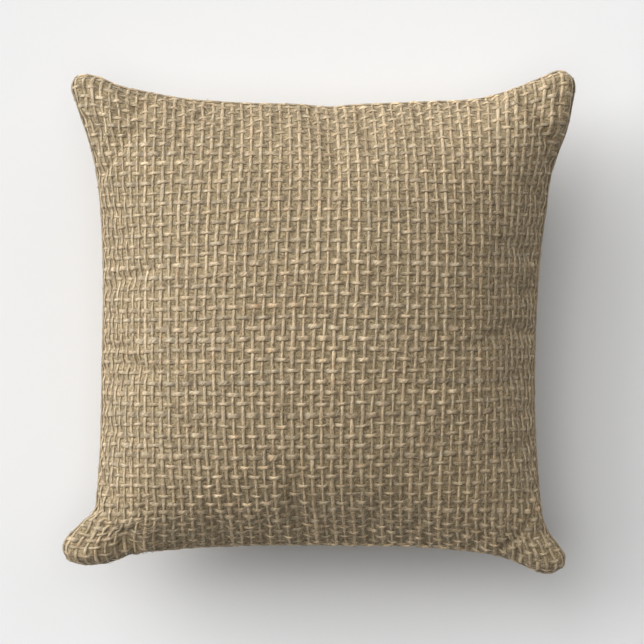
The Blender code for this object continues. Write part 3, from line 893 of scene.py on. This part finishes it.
ALLOWANCE_STEPS = 110  # along each side
ALLOWANCE_SECTION = ((0.15, 0.25), (0.50, 0.55), (0.90, 0.72), (2.60, 0.72))  # in, and to the seam
ALLOWANCE_THICKNESS = 0.35
LINING_GRID = 128
LINING_DEPTH = 0.31  # under the middle of the cover's cloth
LINING_THICKNESS = 0.5
LINING_MARGIN, LINING_INNER_MARGIN = 0.0005, 0.004  # shares of a panel, in from the seam
RIM_WIDTH = 0.012  # share of a panel over which the lining comes up to meet the fold
RIM_LIFT = 0.04


def allowance(face):
    """The edge of the cloth, turned in along the seam so that the two panels meet."""
    run = np.linspace(0, 1, ALLOWANCE_STEPS, endpoint=False)
    low, high = np.zeros_like(run), np.ones_like(run)
    u = np.concatenate([run, high, 1 - run, low])
    v = np.concatenate([low, run, high, 1 - run])
    ring = place_on(face, u, v)
    inward = left_of(np.roll(ring, -1, axis=0) - np.roll(ring, 1, axis=0))
    out = np.array([0, 0, WAY[face]])
    inner = [ring + inward * reach - out * drop for reach, drop in ALLOWANCE_SECTION]
    outer = [line + out * ALLOWANCE_THICKNESS for line in inner]
    points = np.stack(inner + outer[::-1], axis=1)
    count, sides = points.shape[:2]
    quads = grid_quads(count + 1, sides, close_columns=True) % (count * sides)
    piece = add_piece(f"cover_{face}_seam_allowance", points, quads)
    finished(piece, LINING_MATERIAL, f"cover_{face}_panel")


def layer(face, depth, margin):
    """A grid of points under the cloth, square to it, starting a margin inside the seam.

    The points crowd a little towards the seam.
    """
    even = [margin + (1 - 2 * margin) * w for w in grid_places(LINING_GRID)]
    u, v = (0.5 * (w + 0.5 - 0.5 * np.cos(math.pi * w)) for w in even)
    rim = np.clip(np.minimum(np.minimum(u, 1 - u), np.minimum(v, 1 - v)) / RIM_WIDTH, 0, 1)
    deep = (depth - RIM_LIFT * (1 - rim))[..., None]
    return on_grid(PANELS[face], u, v) - deep * on_grid(OUTWARD[face], u, v)


def lining(face):
    outer = layer(face, LINING_DEPTH, LINING_MARGIN)
    inner = layer(face, LINING_DEPTH + LINING_THICKNESS, LINING_INNER_MARGIN)
    piece = add_piece(f"lining_{face}_cloth", *closed_sheet(outer, inner))
    finished(piece, LINING_MATERIAL, f"lining_{face}_panel")


for FACE in FACES:
    allowance(FACE)
for FACE in FACES:
    lining(FACE)

# ------------------------------------------------------------------ insert and its fill

INSERT_SHARE = 0.86  # the insert's outline, as a share of the cover's
INSERT_INNER_SHARE = 0.852
INSERT_DEPTH = 4.5
INSERT_THICKNESS = 0.5
FILL_SHARE = 0.83
FILL_DEPTH = 6.5
INNER_SEAM_RISE = 0.2
INNER_GRID = 72
INSERT_LUMPS = (12, 0.35)  # knots across, and height
FILL_LUMPS = (16, 0.7)


def lumps(knots, size):
    """A square grid of smooth random heights."""
    rough = rng.normal(0, size, (knots, knots, 1))
    return on_grid(rough, *grid_places(INNER_GRID))[..., 0]


def inner_layer(face, share, depth, bumps):
    """A grid of points of the loose insert: the cushion's form made smaller, with its own seam."""
    u, v = grid_places(INNER_GRID)
    points = formed(face, u, v)
    points[..., :2] *= share
    rise = (BULGE[face] - depth + bumps) * crown(u, v) + INNER_SEAM_RISE
    points[..., 2] = SEAM_HEIGHT + WAY[face] * rise
    return rested(points, depth) if face == "back" else points


def insert():
    for face in FACES:
        bumps = lumps(*INSERT_LUMPS)
        outer = inner_layer(face, INSERT_SHARE, INSERT_DEPTH, bumps)
        inner = inner_layer(face, INSERT_INNER_SHARE, INSERT_DEPTH + INSERT_THICKNESS, bumps)
        piece = add_piece(f"insert_{face}_ticking", *closed_sheet(outer, inner))
        finished(piece, TICKING_MATERIAL, f"insert_{face}_panel")
    sides = [inner_layer(face, FILL_SHARE, FILL_DEPTH, lumps(*FILL_LUMPS)) for face in FACES]
    piece = add_piece("insert_fill", *closed_sheet(*sides))
    finished(piece, FILL_MATERIAL, "insert_fibre_fill")


insert()

# ------------------------------------------------------------------ zip and threads

TAPE_EDGE, TAPE_BEND, TAPE_TOP = 2.05, 4.6, 11.4  # up from the seam plane
TAPE_LEAN = 3.78
TAPE_HALF_THICKNESS = 0.25
TAPE_RIB, TAPE_RIB_PITCH = 0.035, 0.62
TAPE_CLOSES_FROM, TAPE_CLOSES_TO, TAPE_END = 60.5, 67.0, 70.0  # beyond its teeth, along X
TAPE_END_EDGE = 0.35
TAPE_ROWS, TAPE_COLUMNS = 44, 161

COIL_PITCH = 2.0
COIL_START = {"front": 0.5, "back": 1.0}  # of the first loop, in pitches, so that the rows mesh
COIL_SLANT = 0.25
COIL_WIRE = 0.26
COIL_HEAD = 0.10  # how much thicker the wire is at each tooth's head
COIL_DEPTH = 0.60
COIL_OUTER = 1.5
COIL_LOCKED, COIL_PARTED = -0.36, 0.78  # how near the seam plane a tooth's head comes
COIL_SAMPLES = 18
LOCKED_FROM, LOCKED_TO = -44.0, 47.0  # along X, between these the rows are locked together
PARTING = 4.0

PRESSED = [  # CAD node, width of its rounded edges, body
    ("zip_slider_body", 0.16, "zip_slider"),
    ("zip_pull_tab", 0.14, "zip_pull"),
    ("zip_top_stop_front", 0.25, "pillow"),
    ("zip_top_stop_back", 0.25, "pillow"),
    ("zip_bottom_stop", 0.3, "pillow"),
]
WELD = 0.01
ROUNDING_STEPS = 3
FLAT_WITHIN = 1  # degrees
SHARP_FROM = 40

THREADS = [
    "zip_stitching_front",
    "zip_stitching_back",
    "cover_seam_needle_thread",
    "cover_seam_bobbin_thread",
    "cover_overlock_thread",
    "insert_seam_thread",
]


def coil(face):
    """One row of the zip: a wire wound in narrow loops, whose heads reach between the other row's."""
    low, high = (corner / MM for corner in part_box(f"zip_coil_{face}"))
    loops = int((high.x - low.x) / COIL_PITCH) - 1
    turn = np.linspace(0, loops, loops * COIL_SAMPLES + 1)
    slant = COIL_SLANT * np.sin(4 * math.pi * turn) / (2 * math.pi)
    x = low.x + COIL_PITCH * COIL_START[face] + COIL_PITCH * (turn - slant)
    apart = np.clip(np.maximum(LOCKED_FROM - x, x - LOCKED_TO) / PARTING, 0, 1)
    head = COIL_LOCKED + (COIL_PARTED - COIL_LOCKED) * apart
    inward = 0.5 - 0.5 * np.cos(2 * math.pi * turn)
    z = SEAM_HEIGHT + WAY[face] * (COIL_OUTER + (head - COIL_OUTER) * inward)
    y = (low.y + high.y) / 2 + COIL_DEPTH * np.sin(2 * math.pi * turn)
    centre = np.stack([x, y, z], axis=-1)[None]
    forward = unit(np.gradient(centre, axis=1))
    side = unit(np.cross(forward, np.array([1.0, 0.0, 0.0])))
    up = np.cross(forward, side)
    thick = (COIL_WIRE + COIL_HEAD * inward**4)[None]
    piece = tube_piece(f"zip_coil_{face}_loops", centre, side, up, thick, thick, np.ones_like(thick))
    finished(piece, COIL_MATERIAL, f"zip_coil_{face}")


def tape(face):
    """A zip tape: a ribbed band, upright behind the lips and leaning in behind the lining."""
    low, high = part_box(f"zip_coil_{face}")
    plane = ((low + high) / 2 / MM).y
    x = np.linspace(-TAPE_END, TAPE_END, TAPE_COLUMNS)[:, None]
    edge = TAPE_EDGE + (TAPE_END_EDGE - TAPE_EDGE) * eased(np.abs(x), TAPE_CLOSES_FROM, TAPE_CLOSES_TO)
    z = edge + (TAPE_TOP - edge) * np.linspace(0, 1, TAPE_ROWS)[None]
    lean = TAPE_LEAN * np.clip((z - TAPE_BEND) / (TAPE_TOP - TAPE_BEND), 0, 1)
    half = TAPE_HALF_THICKNESS - TAPE_RIB * (0.5 + 0.5 * np.cos(2 * math.pi * z / TAPE_RIB_PITCH))
    y = plane + lean
    x, z = x + 0 * z, SEAM_HEIGHT + WAY[face] * z
    front, back = (np.stack([x, y + offset, z], axis=-1) for offset in (-half, half))
    points = np.concatenate([front, back[:, ::-1]], axis=1)
    piece = add_piece(f"zip_tape_{face}_woven", points, tube_quads(TAPE_COLUMNS, 2 * TAPE_ROWS))
    finished(piece, TAPE_MATERIAL, f"zip_tape_{face}")


def pressed(node, rounding, body):
    """The CAD shape with its edges rounded over, as a pressed metal piece has them."""
    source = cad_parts[node]
    piece = add_object(f"{node}_pressed", source.data.copy(), smooth=False)
    piece.data.materials.clear()
    weld = piece.modifiers.new("weld", "WELD")
    weld.merge_threshold = WELD * MM
    flat = piece.modifiers.new("flat", "DECIMATE")
    flat.decimate_type = "DISSOLVE"
    flat.angle_limit = math.radians(FLAT_WITHIN)
    round_over = piece.modifiers.new("round", "BEVEL")
    round_over.width = rounding * MM
    round_over.segments = ROUNDING_STEPS
    round_over.limit_method = "ANGLE"
    depsgraph = bpy.context.evaluated_depsgraph_get()
    result = bpy.data.meshes.new_from_object(piece.evaluated_get(depsgraph))
    piece.modifiers.clear()
    piece.data = result
    result.shade_smooth()
    result.set_sharp_from_angle(angle=math.radians(SHARP_FROM))
    finished(piece, BRASS_MATERIAL, node, body)


def kept(node, material):
    """A CAD node that stays as it is, with a detailed material."""
    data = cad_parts[node].data
    data.materials.clear()
    data.materials.append(material)


for FACE in FACES:
    coil(FACE)
    tape(FACE)
for NODE in THREADS:
    kept(NODE, THREAD_MATERIAL)
for NODE, ROUNDING, BODY in PRESSED:
    pressed(NODE, ROUNDING, BODY)

# ------------------------------------------------------------------ stage, light and camera

FLOOR_HALF_SIDE = 40000.0
FLOOR_COLOUR = (0.80, 0.80, 0.80, 1)
CAMERA_HEIGHT = 1200.0  # above the seam
VIEW_WIDTH = 257.6
VIEW_CENTRE = (1.2, -0.2)
LIGHTS = [  # name, azimuth and elevation it comes from, in degrees, and strength
    ("key_light_upper", 112, 35, 0.10),
    ("key_light_middle", 135, 35, 0.46),
    ("key_light_middle_low", 135, 18, 0.20),
    ("key_light_lower", 158, 18, 0.82),
    ("overhead_light", 135, 84, 0.31),
    ("fill_light", 45, 35, 0.16),
]
LIGHT_SCALE = math.pi
LIGHT_ANGLE = 55.0
WORLD_STRENGTH = 0.04


def stage():
    far = FLOOR_HALF_SIDE
    points = [(-far, -far, 0), (far, -far, 0), (far, far, 0), (-far, far, 0)]
    floor = add_object("floor", add_mesh("floor", points, [[0, 1, 2, 3]]), smooth=False)
    made, tree, shader = new_material("floor_paper")
    values = {"Base Color": FLOOR_COLOUR, "Roughness": 1.0, "Specular IOR Level": 0.0}
    set_inputs(tree, shader, values)
    floor.data.materials.append(made)


def add_sun(name, azimuth, elevation, strength):
    light = bpy.data.lights.new(name, "SUN")
    light.energy = strength
    light.angle = math.radians(LIGHT_ANGLE)
    made = bpy.data.objects.new(name, light)
    bpy.context.scene.collection.objects.link(made)
    made.rotation_euler = (math.radians(90 - elevation), 0, math.radians(90 + azimuth))


def add_world():
    world = bpy.data.worlds.new("studio")
    world.use_nodes = True
    background = world.node_tree.nodes["Background"]
    background.inputs["Color"].default_value = (1, 1, 1, 1)
    background.inputs["Strength"].default_value = WORLD_STRENGTH
    bpy.context.scene.world = world


def add_camera():
    data = bpy.data.cameras.new("camera")
    data.angle = 2 * math.atan(VIEW_WIDTH / 2 / CAMERA_HEIGHT)
    made = bpy.data.objects.new("camera", data)
    made.location = (VIEW_CENTRE[0] * MM, VIEW_CENTRE[1] * MM, (SEAM_HEIGHT + CAMERA_HEIGHT) * MM)
    bpy.context.scene.collection.objects.link(made)
    bpy.context.scene.camera = made


stage()
for NAME, AZIMUTH, ELEVATION, SHARE in LIGHTS:
    add_sun(NAME, AZIMUTH, ELEVATION, SHARE * LIGHT_SCALE)
add_world()
add_camera()
bpy.context.scene.view_settings.view_transform = "Standard"
